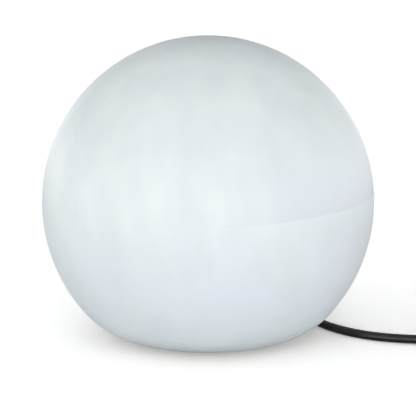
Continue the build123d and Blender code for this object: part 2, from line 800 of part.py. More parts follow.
bulb_housing_base = bulb_cap_base + bulb_cap_height
with BuildPart() as bulb_cap:
    with BuildSketch(Plane.XZ):
        with BuildLine():
            Polyline(
                (0, bulb_cap_base),
                (bulb_cap_radius - 1.0, bulb_cap_base),
                (bulb_cap_radius, bulb_cap_base + 1.0),
                (bulb_cap_radius, bulb_housing_base),
                (bulb_cap_radius - bulb_cap_wall, bulb_housing_base),
                (bulb_cap_radius - bulb_cap_wall, bulb_cap_base + bulb_cap_wall + 1.0),
                (bulb_cap_radius - bulb_cap_wall - 1.0, bulb_cap_base + bulb_cap_wall),
                (0, bulb_cap_base + bulb_cap_wall),
                close=True,
            )
        make_face()
    revolve(axis=Axis.Z)
export("bulb_cap", bulb_cap)

housing_rim = bulb_housing_base + bulb_housing_height
board_base = housing_rim - board_thickness
disc_base = board_base - 2 * bulb_wall
neck_top = bulb_housing_base + bulb_housing_height / 4
with BuildPart() as bulb_housing:
    with BuildSketch(Plane.XZ):
        with BuildLine():
            outer_flare = Spline(
                (bulb_neck_radius, neck_top),
                (bulb_shoulder_radius, housing_rim),
                tangents=[(0, 1), (bulb_shoulder_radius / bulb_radius, 1)],
            )
            Polyline(
                (bulb_shoulder_radius, housing_rim),
                (board_radius + body_gap, housing_rim),
                (board_radius + body_gap, board_base),
                (0, board_base),
                (0, disc_base),
                (bulb_neck_radius, disc_base),
                (bulb_neck_radius - bulb_wall, neck_top),
                (bulb_neck_radius - bulb_wall, bulb_housing_base),
                (bulb_neck_radius, bulb_housing_base),
                (bulb_neck_radius, neck_top),
            )
        make_face()
    revolve(axis=Axis.Z)
export("bulb_housing", bulb_housing)

with BuildPart() as led_board:
    with BuildSketch(Plane.XY.offset(board_base)):
        Circle(board_radius)
    extrude(amount=board_thickness)
    with BuildSketch(Plane.XY.offset(housing_rim)):
        with PolarLocations(chip_circle, chip_count):
            Rectangle(chip_size, chip_size)
    extrude(amount=chip_size / 4)
export("led_board", led_board)

dome_centre = housing_rim + math.sqrt(bulb_radius ** 2 - bulb_shoulder_radius ** 2)
dome_start = -math.degrees(math.acos(bulb_shoulder_radius / bulb_radius))
inner_start = -math.degrees(math.asin((dome_centre - housing_rim) / (bulb_radius - bulb_wall)))
with BuildPart() as bulb_diffuser:
    with BuildSketch(Plane.XZ):
        with BuildLine():
            outer_dome = CenterArc((0, dome_centre), bulb_radius, dome_start, 90 - dome_start)
            inner_dome = CenterArc((0, dome_centre), bulb_radius - bulb_wall, inner_start, 90 - inner_start,
                                   mode=Mode.PRIVATE)
            Polyline(
                outer_dome @ 0,
                *(inner_dome @ (step / dome_facets) for step in range(dome_facets + 1)),
                outer_dome @ 1,
            )
        make_face()
    revolve(axis=Axis.Z)
export("bulb_diffuser", bulb_diffuser)

# ---------------------------------------------------------------- cord, coil and plug
coil_rate = coil_pitch / (2 * math.pi)
layer_angle = turns_per_layer * 2 * math.pi
half_spread = coil_rate * (math.hypot(layer_angle / 2, coil_ease) - coil_ease)
coil_outer = coil_inner + 2 * half_spread
coil_y = coil_arrival + coil_outer
coil_base = tie_thickness + tie_gap + cord_radius
coil_top = coil_base + coil_pitch * (coil_layers - 1)


def coil_place(angle):
    """Centre of the cord after an angle of winding: in from the outside, out again, climbing at each turn back."""
    phase = angle % (2 * layer_angle)
    inwards = min(phase, 2 * layer_angle - phase)
    if inwards < layer_angle / 2:
        radius = coil_outer - coil_rate * (math.hypot(inwards, coil_ease) - coil_ease)
    else:
        radius = coil_inner + coil_rate * (math.hypot(layer_angle - inwards, coil_ease) - coil_ease)
    level = coil_base
    for layer in range(1, coil_layers):
        climb = max(-0.5, min(0.5, (angle - layer * layer_angle) / math.pi))
        level += coil_pitch * (1 + math.sin(math.pi * climb)) / 2
    direction = angle - math.pi / 2
    return Vector(coil_x + radius * math.cos(direction), coil_y + radius * math.sin(direction), level)


with BuildPart() as cord_coil:
    with BuildLine() as coil_line:
        Line((coil_x - coil_straight, coil_arrival, coil_base), (coil_x, coil_arrival, coil_base))
        wind(coil_place, round(4 * turns_per_layer * coil_layers))
        Line((coil_x + coil_outer, coil_y, coil_top), (coil_x + coil_outer, coil_y + coil_straight, coil_top))
    with BuildSketch(Plane.YZ.offset(coil_x - coil_straight)):
        with Locations((coil_arrival, coil_base)):
            RegularPolygon(cord_radius, 8)
    sweep()
export("cord_coil", cord_coil)

coil_wire = coil_line.wire()
sample_count = round(coil_wire.length / (cord_radius / 2))
coil_samples = [tuple(coil_wire @ (index / sample_count)) for index in range(sample_count + 1)]
apart = 6 * round(cord_radius)
least_gap = min(
    math.dist(first, second)
    for index, first in enumerate(coil_samples)
    for second in coil_samples[index + apart:]
) - 2 * cord_radius
print("cord_coil least gap to itself", round(least_gap, 3), "length", round(coil_wire.length))


def free_cord(name, points, start_plane):
    """Sweep the round cord along a filleted route and report its radii and volume."""
    corners = [Vector(point) for point in points]
    radii = []
    for before, corner, after in zip(corners, corners[1:], corners[2:]):
        incoming = corner - before
        outgoing = after - corner
        half_turn = math.radians(incoming.get_angle(outgoing)) / 2
        radii.append(0.45 * min(incoming.length, outgoing.length) / math.tan(half_turn))
    with BuildPart() as cord:
        with BuildLine() as route:
            FilletPolyline(*corners, radius=radii)
        with BuildSketch(start_plane):
            Circle(cord_radius)
        sweep()
    export(name, cord)
    length = route.wire().length
    print(name, "radii", [round(radius) for radius in radii], "length", round(length), "volume ratio",
          round(cord.part.volume / (length * math.pi * cord_radius ** 2), 4))


free_cord(
    "cord_lead",
    [
        (0, nut_face, cord_height),
        (0, 78, cord_height),
        (0, 121, 5),
        (28.4, 149.4, 4),
        (68.6, 149.4, 4),
        (97, 121, 4),
        (97, 82, 4),
        (98, 48, 4),
        (105, 14, 4),
        (124, -14, 4),
        (152, -34, 4),
        (190, -43, 4.1),
        (232, coil_arrival, coil_base),
        (coil_x - coil_straight, coil_arrival, coil_base),
    ],
    Plane(origin=(0, nut_face, cord_height), z_dir=(0, 1, 0)),
)

tail_x = coil_x + coil_outer
free_cord(
    "cord_tail",
    [
        (tail_x, coil_y + coil_straight, coil_top),
        (tail_x, 34, coil_top),
        (plug_x, plug_start - 18, plug_radius),
        (plug_x, plug_start, plug_radius),
    ],
    Plane(origin=(tail_x, coil_y + coil_straight, coil_top), z_dir=(0, 1, 0)),
)

tie_slack = (tie_width / 2) ** 2 / (2 * (coil_inner - cord_radius))
tie_inner_width = coil_outer - coil_inner + 2 * (cord_radius + tie_gap + tie_slack)
tie_inner_height = coil_top - coil_base + 2 * (cord_radius + tie_gap)
with BuildPart() as cord_ties:
    for tie_angle in tie_angles:
        way = Vector(math.cos(math.radians(tie_angle)), math.sin(math.radians(tie_angle)), 0)
        middle = Vector(coil_x, coil_y, (coil_base + coil_top) / 2) + way * (coil_inner + coil_outer) / 2
        with BuildSketch(Plane(origin=middle, x_dir=way, z_dir=way.cross(Vector(0, 0, 1)))):
            RectangleRounded(tie_inner_width + 2 * tie_thickness, tie_inner_height + 2 * tie_thickness,
                             cord_radius + tie_thickness)
            RectangleRounded(tie_inner_width, tie_inner_height, cord_radius, mode=Mode.SUBTRACT)
        extrude(amount=tie_width / 2, both=True)
export("cord_ties", cord_ties)

grip_start = plug_start + plug_relief
front_start = grip_start + plug_grip
plug_end = front_start + plug_front
plug_axis = Axis((plug_x, 0, plug_radius), (0, 1, 0))
relief_pitch = plug_relief / (relief_slots + 1)

with BuildPart() as plug_body:
    with BuildSketch(Plane(origin=(plug_x, 0, plug_radius), x_dir=(0, 1, 0), z_dir=(1, 0, 0))):
        with BuildLine():
            Polyline(
                (plug_end, 0),
                (plug_start, 0),
                (plug_start, plug_tip_radius),
                (grip_start, plug_neck_radius),
            )
            Spline(
                (grip_start, plug_neck_radius),
                (front_start, plug_grip_radius),
                tangents=[(1, 0), (1, 0)],
            )
            Polyline(
                (front_start, plug_grip_radius),
                (front_start, plug_radius - 1.0),
                (front_start + 1.0, plug_radius),
                (plug_end - 1.0, plug_radius),
                (plug_end, plug_radius - 1.0),
                (plug_end, 0),
            )
        make_face()
    revolve(axis=plug_axis)
    for slot in range(relief_slots):
        slot_place = plug_start + relief_pitch * (slot + 1)
        with BuildSketch(Plane.XZ.offset(-slot_place)):
            with Locations((plug_x, plug_radius)):
                Circle(plug_radius)
                Circle(plug_tip_radius - 0.5, mode=Mode.SUBTRACT)
        extrude(amount=relief_pitch / 4, both=True, mode=Mode.SUBTRACT)
    # Slots for the earth clips, and holes of the pins
    with BuildSketch(Plane.XZ.offset(-front_start)):
        with Locations((plug_x, 0), (plug_x, 2 * plug_radius)):
            Rectangle(clip_width, 2 * clip_depth)
    extrude(amount=-plug_front, mode=Mode.SUBTRACT)
    with BuildSketch(Plane.XZ.offset(-plug_end)):
        with Locations((plug_x + pin_spacing / 2, plug_radius), (plug_x - pin_spacing / 2, plug_radius)):
            Circle(pin_root_radius + pilot_gap)
    extrude(amount=pin_root_depth, mode=Mode.SUBTRACT)
export("plug_body", plug_body)

pin_start = plug_end + pin_root_proud
with BuildPart() as plug_pins:
    with BuildSketch(Plane.XZ.offset(-(plug_end - pin_root_depth))):
        with Locations((plug_x + pin_spacing / 2, plug_radius), (plug_x - pin_spacing / 2, plug_radius)):
            Circle(pin_root_radius)
    extrude(amount=-(pin_root_depth + pin_root_proud))
    with BuildSketch(Plane.XZ.offset(-pin_start)):
        with Locations((plug_x + pin_spacing / 2, plug_radius), (plug_x - pin_spacing / 2, plug_radius)):
            Circle(pin_radius)
    extrude(amount=-(pin_length - pin_root_proud))
    chamfer(plug_pins.faces().filter_by(Axis.Y).sort_by(Axis.Y)[-2:].edges(), length=pin_tip)
export("plug_pins", plug_pins)

# The clips lie on the floors of the slots, just inside the plug's round
clip_level = plug_radius - clip_depth + clip_thickness / 2
with BuildPart() as plug_earth_clips:
    with BuildSketch(Plane.XZ.offset(-front_start)):
        with Locations((plug_x, plug_radius + clip_level), (plug_x, plug_radius - clip_level)):
            Rectangle(clip_width - 2 * fit_gap, clip_thickness)
    extrude(amount=-plug_front)
export("plug_earth_clips", plug_earth_clips)
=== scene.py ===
import math

import bpy
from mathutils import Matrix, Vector


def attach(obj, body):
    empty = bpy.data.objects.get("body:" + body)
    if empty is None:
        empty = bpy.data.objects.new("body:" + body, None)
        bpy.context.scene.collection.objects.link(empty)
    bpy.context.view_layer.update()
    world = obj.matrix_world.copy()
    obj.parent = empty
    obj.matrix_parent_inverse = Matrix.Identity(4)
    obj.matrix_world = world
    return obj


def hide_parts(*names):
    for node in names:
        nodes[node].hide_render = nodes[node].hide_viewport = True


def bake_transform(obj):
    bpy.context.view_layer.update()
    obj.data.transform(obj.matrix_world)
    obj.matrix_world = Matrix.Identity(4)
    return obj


# Garden globe light: an opal rotomoulded globe on a screwed base plate, with lampholder, bulb, rubber cord,
# put-away coil and plug. Metres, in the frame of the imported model.

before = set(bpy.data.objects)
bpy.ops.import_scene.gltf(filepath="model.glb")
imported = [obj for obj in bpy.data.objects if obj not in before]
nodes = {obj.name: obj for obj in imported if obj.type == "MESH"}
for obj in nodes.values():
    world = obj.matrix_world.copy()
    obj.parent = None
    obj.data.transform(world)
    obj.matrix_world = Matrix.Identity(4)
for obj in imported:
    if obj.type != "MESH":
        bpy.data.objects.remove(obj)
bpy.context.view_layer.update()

# ---------------------------------------------------------------- view
# The photographer stands 1.2 m off with a long lens and looks down at the globe by about nine degrees.
globe_middle = Vector((0, 0, 0.12329))
distance = 1.2
look_down = math.radians(9.0)
aim_below = math.radians(0.287)
lens = 114.16
sensor = 36

camera_data = bpy.data.cameras.new("camera")
camera_data.lens = lens
camera_data.sensor_width = sensor
camera = bpy.data.objects.new("camera", camera_data)
camera.location = globe_middle + distance * Vector((0, -math.cos(look_down), math.sin(look_down)))
camera.rotation_euler = (math.pi / 2 - look_down - aim_below, 0, 0)
bpy.context.scene.collection.objects.link(camera)
bpy.context.scene.camera = camera
bpy.context.scene.view_settings.view_transform = "Standard"

# ---------------------------------------------------------------- globe shell
# Rotomoulded polyethylene, tinted opal white all through, in one piece with its ledge, screw bosses and cable
# channel. It stands over the base plate and is held by three screws into brass inserts.

# Stretch of the noise over which a mottled colour goes from its dark paint to its light one
cloud_from = 0.3
cloud_to = 0.7


def paint(hex_colour):
    """Linear colour of an sRGB hex value."""
    values = [int(hex_colour[i:i + 2], 16) / 255 for i in (1, 3, 5)]
    return [v / 12.92 if v <= 0.04045 else ((v + 0.055) / 1.055) ** 2.4 for v in values] + [1]


def add(material, kind, inputs=None, **settings):
    """Add a shader node to a material or world; an input is a value, or the output that it comes from."""
    made = material.node_tree.nodes.new("ShaderNode" + kind)
    for name, value in settings.items():
        setattr(made, name, value)
    for name, value in (inputs or {}).items():
        if isinstance(value, bpy.types.NodeSocket):
            material.node_tree.links.new(value, made.inputs[name])
        else:
            made.inputs[name].default_value = value
    return made


def make_finish(name, roughness, metal=0.0, **inputs):
    """New material with one Principled shader, whose other sockets are set by the words given."""
    material = bpy.data.materials.new(name)
    material.use_nodes = True
    material.node_tree.nodes.clear()
    shader = add(material, "BsdfPrincipled", {"Roughness": roughness, "Metallic": metal})
    for word, value in inputs.items():
        shader.inputs[word.replace("_", " ")].default_value = value
    add(material, "OutputMaterial", {"Surface": shader.outputs[0]})
    return material, shader


def link(material, source, target):
    """Join two sockets of a material."""
    material.node_tree.links.new(source, target)


def mottle(material, shader, size, dark, light, stretch=(1, 1, 1)):
    """Colour that drifts between two paints in clouds of the given size, in metres."""
    place = add(material, "TexCoord").outputs["Object"]
    spread = add(material, "Mapping", {"Vector": place, "Scale": stretch})
    cloud = add(material, "TexNoise", {"Vector": spread.outputs[0], "Scale": 1 / size, "Detail": 3})
    tone = add(material, "MapRange", {"Value": cloud.outputs["Fac"], "From Min": cloud_from,
                                      "From Max": cloud_to})
    colour = add(material, "Mix", {"Factor": tone.outputs[0], "A": paint(dark), "B": paint(light)},
                 data_type="RGBA")
    link(material, colour.outputs["Result"], shader.inputs["Base Color"])
    material.diffuse_color = paint(light)
    return colour.outputs["Result"]


def grain(material, shader, size, depth, strength=0.3, stretch=(1, 1, 1)):
    """Skin with grains of the given size and depth, in metres."""
    place = add(material, "TexCoord").outputs["Object"]
    spread = add(material, "Mapping", {"Vector": place, "Scale": stretch})
    skin = add(material, "TexNoise", {"Vector": spread.outputs[0], "Scale": 1 / size, "Detail": 2})
    bump = add(material, "Bump", {"Height": skin.outputs["Fac"], "Strength": strength, "Distance": depth})
    link(material, bump.outputs[0], shader.inputs["Normal"])


def dress(material, *names):
    """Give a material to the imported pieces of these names."""
    for name in names:
        mesh = nodes[name].data
        mesh.materials.clear()
        mesh.materials.append(material)


def new_piece(name, points, faces, material, body):
    """Add a smooth mesh piece that rides on a body."""
    mesh = bpy.data.meshes.new(name)
    mesh.from_pydata(points, [], faces)
    mesh.shade_smooth()
    mesh.materials.append(material)
    piece = bpy.data.objects.new(name, mesh)
    bpy.context.scene.collection.objects.link(piece)
    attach(piece, body)
    return piece


# Polyethylene gives a soft, milky satin: roughness 0.5, IOR 1.51, with light that spreads 4 mm into the wall.
# The clouds are where the wall is a touch thicker or thinner, and run down the globe as the powder did.
opal, opal_shader = make_finish("rotomoulded_polyethylene", 0.50, IOR=1.51, Subsurface_Weight=0.25,
                                Subsurface_Scale=0.004, Subsurface_Radius=(1.0, 0.9, 0.8))
clouds = mottle(opal, opal_shader, 0.030, "#E6EFF2", "#EFF7F9", stretch=(1, 1, 0.45))
grain(opal, opal_shader, 0.0012, 0.0002, strength=0.06)
dress(opal, "globe_shell")

# The two mould halves part along a plane that rises towards the right. Below the line a band of the skin is
# paler and bluer, in patches; above it, a painted shade darkens the upper half towards the right, fading
# upwards from the line.
seam_tilt = math.radians(3.6)
seam_level = globe_middle.z * math.cos(seam_tilt)
blue_depth = 0.060
blue_end = 0.115
blue_at_line = 0.25
blue_patch = 0.045
patch_stretch = (1, 1, 0.6)
patch_from = 0.40
patch_to = 0.55
patch_least = 0.35
# Height, and start and end towards the right, of the painted shade above the parting line
seam_shade_height = 0.085
seam_shade_from = 0.010
seam_shade_to = 0.080
shell_place = add(opal, "TexCoord").outputs["Object"]
seam_rise = add(opal, "VectorMath", {0: shell_place, 1: (-math.sin(seam_tilt), 0, math.cos(seam_tilt))},
                operation="DOT_PRODUCT").outputs["Value"]
above = add(opal, "Math", {0: seam_rise, 1: seam_level}, operation="GREATER_THAN")
blue_from = add(opal, "MapRange", {"Value": seam_rise, "From Min": seam_level - blue_depth,
                                   "From Max": seam_level, "To Min": 1.0, "To Max": blue_at_line})
blue_until = add(opal, "MapRange", {"Value": seam_rise, "From Min": seam_level - blue_end,
                                    "From Max": seam_level - blue_depth})
patch_place = add(opal, "Mapping", {"Vector": shell_place, "Scale": patch_stretch})
patches = add(opal, "TexNoise", {"Vector": patch_place.outputs[0], "Scale": 1 / blue_patch, "Detail": 3})
patchy = add(opal, "MapRange", {"Value": patches.outputs["Fac"], "From Min": patch_from, "From Max": patch_to,
                                "To Min": patch_least, "To Max": 1.0})
blue_band = add(opal, "Math", {0: blue_from.outputs[0], 1: blue_until.outputs[0]}, operation="MULTIPLY")
bluer = add(opal, "Math", {0: blue_band.outputs[0], 1: patchy.outputs[0]}, operation="MULTIPLY")
# Painted shade above the parting line: strongest at the line and on the right, gone 85 mm higher up
upper_fade = add(opal, "MapRange", {"Value": seam_rise, "From Min": seam_level,
                                    "From Max": seam_level + seam_shade_height, "To Min": 1.0, "To Max": 0.0})
rightwards = add(opal, "MapRange", {"Value": add(opal, "SeparateXYZ", {"Vector": shell_place}).outputs["X"],
                                    "From Min": seam_shade_from, "From Max": seam_shade_to})
seam_shade = add(opal, "Math", {0: upper_fade.outputs[0], 1: rightwards.outputs[0]}, operation="MULTIPLY")
lower_tone = add(opal, "Mix", {"Factor": bluer.outputs[0], "A": clouds, "B": paint("#EEF4FE")},
                 data_type="RGBA")
# The painted shade's darker colour, mixed into the upper half
upper_tone = add(opal, "Mix", {"Factor": seam_shade.outputs[0], "A": clouds, "B": paint("#E4EBF2")},
                 data_type="RGBA")
halves = add(opal, "Mix", {"Factor": above.outputs[0], "A": lower_tone.outputs["Result"],
                           "B": upper_tone.outputs["Result"]}, data_type="RGBA")
link(opal, halves.outputs["Result"], opal_shader.inputs["Base Color"])

# Parting line: the trimmed flash between the halves, a low ridge right round, a little paler than the skin
flash, flash_shader = make_finish("trimmed_flash", 0.45, IOR=1.51)
mottle(flash, flash_shader, 0.004, "#EEF6F8", "#F2F9FA")
seam_radius = 0.150
seam_half = 0.0006
seam_proud = 0.0005
seam_root = 0.0005
seam_section = ((-seam_root, -seam_half), (seam_proud, 0), (-seam_root, seam_half))
seam_corners = len(seam_section)
seam_steps = 256
seam_points = []
seam_faces = []
for step in range(seam_steps):
    turn = 2 * math.pi * step / seam_steps
    for reach, rise in seam_section:
        out = (seam_radius + reach) * math.cos(turn)
        seam_points.append((out * math.cos(seam_tilt) - rise * math.sin(seam_tilt),
                            (seam_radius + reach) * math.sin(turn),
                            globe_middle.z + out * math.sin(seam_tilt) + rise * math.cos(seam_tilt)))
    here = seam_corners * step
    following = seam_corners * ((step + 1) % seam_steps)
    for corner in range(seam_corners):
        beside = (corner + 1) % seam_corners
        seam_faces.append((here + corner, following + corner, following + beside, here + beside))
new_piece("parting_line", seam_points, seam_faces, flash, "globe")

# Turned brass with fine marks round it: the inserts in the bosses, the terminals, the earth connection and
# the centre contact
brass, brass_shader = make_finish("turned_brass", 0.32, metal=1.0)
mottle(brass, brass_shader, 0.004, "#B5924A", "#C9A65C")
grain(brass, brass_shader, 0.0004, 0.00005, stretch=(1, 1, 6))
dress(brass, "threaded_inserts", "earth_lug", "earth_screw", "terminal_clamps", "terminal_screws",
      "centre_contact")

# ---------------------------------------------------------------- base plate
# Moulded glass-filled nylon, dark grey and matt, with its ribs, screw columns, well and cable housing in one
# piece. Three screws pull it up against the gasket on the globe's ledge, and it stands on three rubber feet.
nylon, nylon_shader = make_finish("glass_filled_nylon", 0.58, IOR=1.53)
mottle(nylon, nylon_shader, 0.006, "#2E3032", "#383A3C")
grain(nylon, nylon_shader, 0.0007, 0.0001, strength=0.35)
dress(nylon, "base_plate")

# Cellular rubber of gasket and seal, and harder moulded rubber of the feet: both matt and nearly black
seal_rubber, seal_shader = make_finish("seal_rubber", 0.78, IOR=1.52)
mottle(seal_rubber, seal_shader, 0.002, "#151515", "#1F1F1F")
grain(seal_rubber, seal_shader, 0.0005, 0.0002, strength=0.5)
dress(seal_rubber, "base_gasket", "gland_seal")
foot_rubber, foot_shader = make_finish("foot_rubber", 0.68, IOR=1.52)
mottle(foot_rubber, foot_shader, 0.004, "#1D1D1E", "#262627")
grain(foot_rubber, foot_shader, 0.0006, 0.0001)
dress(foot_rubber, "rubber_feet")

# Stainless screws: bright, with fine turning marks
stainless, stainless_shader = make_finish("stainless_steel", 0.28, metal=1.0)
mottle(stainless, stainless_shader, 0.003, "#A9ABAD", "#BCBEC0")
grain(stainless, stainless_shader, 0.0003, 0.00003, stretch=(1, 1, 8))
dress(stainless, "base_screws", "clamp_screws", "bracket_screws")

# ---------------------------------------------------------------- cable entry
# Black nylon gland nut with its tapered, slotted tail, screwed over the spigot of the base plate, and the
# clamp bar that holds the sheath inside the well. Both are smoother than the plate, so a little glossier.
gland_nylon, gland_shader = make_finish("gland_nylon", 0.42, IOR=1.53)
mottle(gland_nylon, gland_shader, 0.004, "#161617", "#1E1E20")
grain(gland_nylon, gland_shader, 0.0005, 0.00005)
dress(gland_nylon, "gland_nut", "cord_clamp")

# Cores in flexible PVC: brown, blue, and green with yellow stripes that run across it slantwise
for core_name, dark, light in (("core_brown", "#4E2F1C", "#5C3822"), ("core_blue", "#1F4A93", "#2A59A8")):
    core_pvc, core_shader = make_finish(core_name + "_pvc", 0.40, IOR=1.53)
    mottle(core_pvc, core_shader, 0.003, dark, light)
    grain(core_pvc, core_shader, 0.0004, 0.00004)
    dress(core_pvc, core_name)
earth_pvc, earth_shader = make_finish("core_earth_pvc", 0.40, IOR=1.53)
earth_place = add(earth_pvc, "TexCoord").outputs["Object"]
# At scale 1 a diagonal wave repeats every 0.628 m along an axis, and the stripes every 12 mm
stripe_pitch = 0.012
unscaled_pitch = 0.628
stripe_threshold = 0.62
stripes = add(earth_pvc, "TexWave", {"Vector": earth_place, "Scale": unscaled_pitch / stripe_pitch,
                                     "Distortion": 0.0}, bands_direction="DIAGONAL")
stripe_edge = add(earth_pvc, "Math", {0: stripes.outputs["Fac"], 1: stripe_threshold},
                  operation="GREATER_THAN")
earth_colour = add(earth_pvc, "Mix", {"Factor": stripe_edge.outputs[0], "A": paint("#3D8A35"),
                                      "B": paint("#D9C92F")}, data_type="RGBA")
link(earth_pvc, earth_colour.outputs["Result"], earth_shader.inputs["Base Color"])
grain(earth_pvc, earth_shader, 0.0004, 0.00004)
dress(earth_pvc, "core_earth")

# ---------------------------------------------------------------- lampholder
# Folded zinc-plated steel bridge screwed to the plate, hollow threaded nipple with two nuts, and a black
# thermoset lampholder with a steatite contact block and nickel-plated brass screw shell.
zinc, zinc_shader = make_finish("zinc_plated_steel", 0.38, metal=1.0)
mottle(zinc, zinc_shader, 0.005, "#A8A9A4", "#BFC0BA")
grain(zinc, zinc_shader, 0.0008, 0.00005)
dress(zinc, "lampholder_bracket", "nipple_nuts")
thermoset, thermoset_shader = make_finish("black_thermoset", 0.30, IOR=1.58)
mottle(thermoset, thermoset_shader, 0.003, "#151516", "#1D1D1F")
grain(thermoset, thermoset_shader, 0.0009, 0.00003)
dress(thermoset, "lampholder_cap", "lampholder_skirt")
steatite, steatite_shader = make_finish("steatite", 0.55, IOR=1.60)
mottle(steatite, steatite_shader, 0.003, "#D8D5CB", "#E3E0D8")
grain(steatite, steatite_shader, 0.0005, 0.00008)
dress(steatite, "contact_block")

# Spring under the centre contact. Its foot stays in the block's pit, and its top rises with the contact. A
# copy of the imported coil takes its place.
spring_wire, spring_shader = make_finish("spring_steel", 0.22, metal=1.0)
mottle(spring_wire, spring_shader, 0.002, "#9EA0A2", "#B4B6B8")
dress(spring_wire, "contact_spring")
spring_coil = nodes["contact_spring"].data.copy()
spring_coil.transform(nodes["contact_spring"].matrix_world)
spring = bpy.data.objects.new("stretching_spring", spring_coil)
bpy.context.scene.collection.objects.link(spring)
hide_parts("contact_spring")
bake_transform(spring)

# Nickel plate: smooth and slightly warm
nickel, nickel_shader = make_finish("nickel_plate", 0.22, metal=1.0)
mottle(nickel, nickel_shader, 0.004, "#B3AFA6", "#C6C2B9")
grain(nickel, nickel_shader, 0.0006, 0.00002)
dress(nickel, "bulb_tip", "plug_pins", "plug_earth_clips")


def threaded_tube(name, low, high, radius, thickness, depth, pitch, chamfer, material, body):
    """Tube round the lamp's axis with a rolled screw thread, which fades out at both ends.

    The radius is that of the crests outside, and the chamfer narrows the lower end.
    """
    around = 64
    rings_per_turn = 8
    rings = round((high - low) / pitch * rings_per_turn) + 1
    points = []
    for side in (0, thickness):
        for ring in range(rings):
            level = low + (high - low) * ring / (rings - 1)
            ends = min(1, (level - low) / pitch, (high - level) / pitch)
            edge = max(0, chamfer - (level - low))
            for step in range(around):
                turn = step / around
                angle = 2 * math.pi * turn
                wave = (1 - math.cos(2 * math.pi * (level / pitch - turn))) / 2
                reach = radius - edge - side - depth * ends * wave
                points.append((reach * math.cos(angle), reach * math.sin(angle), level))
    faces = []
    for ring in range(rings - 1):
        for step in range(around):
            beside = (step + 1) % around
            outer = [ring * around + step, ring * around + beside,
                     (ring + 1) * around + beside, (ring + 1) * around + step]
            faces.append(tuple(outer))
            faces.append(tuple(rings * around + corner for corner in reversed(outer)))
    for ring in (0, rings - 1):
        for step in range(around):
            beside = (step + 1) % around
            rim = [ring * around + step, (rings + ring) * around + step,
                   (rings + ring) * around + beside, ring * around + beside]
            faces.append(tuple(rim) if ring == 0 else tuple(reversed(rim)))
    return new_piece(name, points, faces, material, body)


# Nipple with a fine metric thread, and the screw shell, whose rolled round thread has the pitch of the bulb's
nipple = threaded_tube("threaded_nipple", low=0.0315, high=0.0475, radius=0.005, thickness=0.0012,
                       depth=0.0004, pitch=0.001, chamfer=0, material=zinc, body="base")
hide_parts("lampholder_nipple")
cap_pitch = 0.00363
rolled_thickness = 0.0005
holder_shell = threaded_tube("rolled_screw_shell", low=0.069, high=0.092, radius=0.01405,
                             thickness=rolled_thickness, depth=0.00015, pitch=cap_pitch, chamfer=0,
                             material=nickel, body="base")
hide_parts("screw_shell")

# ---------------------------------------------------------------- bulb
# White LED bulb: nickel-plated cap with rolled thread, black glass insulator, coated housing, board with
# twelve chips under an opal diffuser. It turns in the lampholder and rises with the thread.
cap = threaded_tube("rolled_bulb_cap", low=0.0767, high=0.0997, radius=0.0132, thickness=rolled_thickness,
                    depth=0.0007, pitch=cap_pitch, chamfer=0.001, material=nickel, body="bulb")
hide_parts("bulb_cap")
black_glass, black_glass_shader = make_finish("black_glass", 0.12, IOR=1.52)
mottle(black_glass, black_glass_shader, 0.003, "#0F0F10", "#171718")
dress(black_glass, "bulb_insulator")
coated, coated_shader = make_finish("coated_housing", 0.35, IOR=1.50)
mottle(coated, coated_shader, 0.010, "#E2E2DF", "#E9E9E6")
grain(coated, coated_shader, 0.0008, 0.00003)
dress(coated, "bulb_housing")
frosted, frosted_shader = make_finish("frosted_polycarbonate", 0.45, IOR=1.58, Subsurface_Weight=0.4,
                                      Subsurface_Scale=0.003, Subsurface_Radius=(1.0, 0.95, 0.9))
mottle(frosted, frosted_shader, 0.012, "#ECECE8", "#F1F1EE")
grain(frosted, frosted_shader, 0.0005, 0.00003)
dress(frosted, "bulb_diffuser")

# White solder mask, and yellow phosphor where the chips stand up from it
board, board_shader = make_finish("white_solder_mask", 0.35, IOR=1.52)
board_top = 0.13975
fleck_size = 0.0006
board_place = add(board, "TexCoord").outputs["Object"]
board_level = add(board, "SeparateXYZ", {"Vector": board_place}).outputs["Z"]
is_chip = add(board, "Math", {0: board_level, 1: board_top}, operation="GREATER_THAN")
fleck = add(board, "TexNoise", {"Vector": board_place, "Scale": 1 / fleck_size, "Detail": 2})
mask_white = add(board, "Mix", {"Factor": fleck.outputs["Fac"], "A": paint("#E0E0DA"), "B": paint("#EAEAE5")},
                 data_type="RGBA")
board_colour = add(board, "Mix", {"Factor": is_chip.outputs[0], "A": mask_white.outputs["Result"],
                                  "B": paint("#DDBB45")}, data_type="RGBA")
link(board, board_colour.outputs["Result"], board_shader.inputs["Base Color"])
dress(board, "led_board")

# ---------------------------------------------------------------- cord
# Round 3-core garden cord in satin black rubber, 8 mm thick and 3 m long with the end inside the base. It
# leaves the gland at the back, turns round on the floor, comes forward and goes off to the right, where the
# rest of it is put away in a tied coil.
cord_radius = 0.004
gland_mouth = (0, 0.0555, 0.0125)
coil_centre_x = 0.280
coil_arrival = -0.046
coil_inner = 0.0375
coil_pitch = 0.0088
coil_ease = 0.2
coil_base = 0.0053
coil_layers = 4
turns_per_layer = 2.0625
points_per_turn = 16
coil_straight = 0.008
coil_rate = coil_pitch / (2 * math.pi)
layer_angle = turns_per_layer * 2 * math.pi
half_spread = coil_rate * (math.hypot(layer_angle / 2, coil_ease) - coil_ease)
coil_outer = coil_inner + 2 * half_spread
coil_centre_y = coil_arrival + coil_outer
coil_top = coil_base + coil_pitch * (coil_layers - 1)

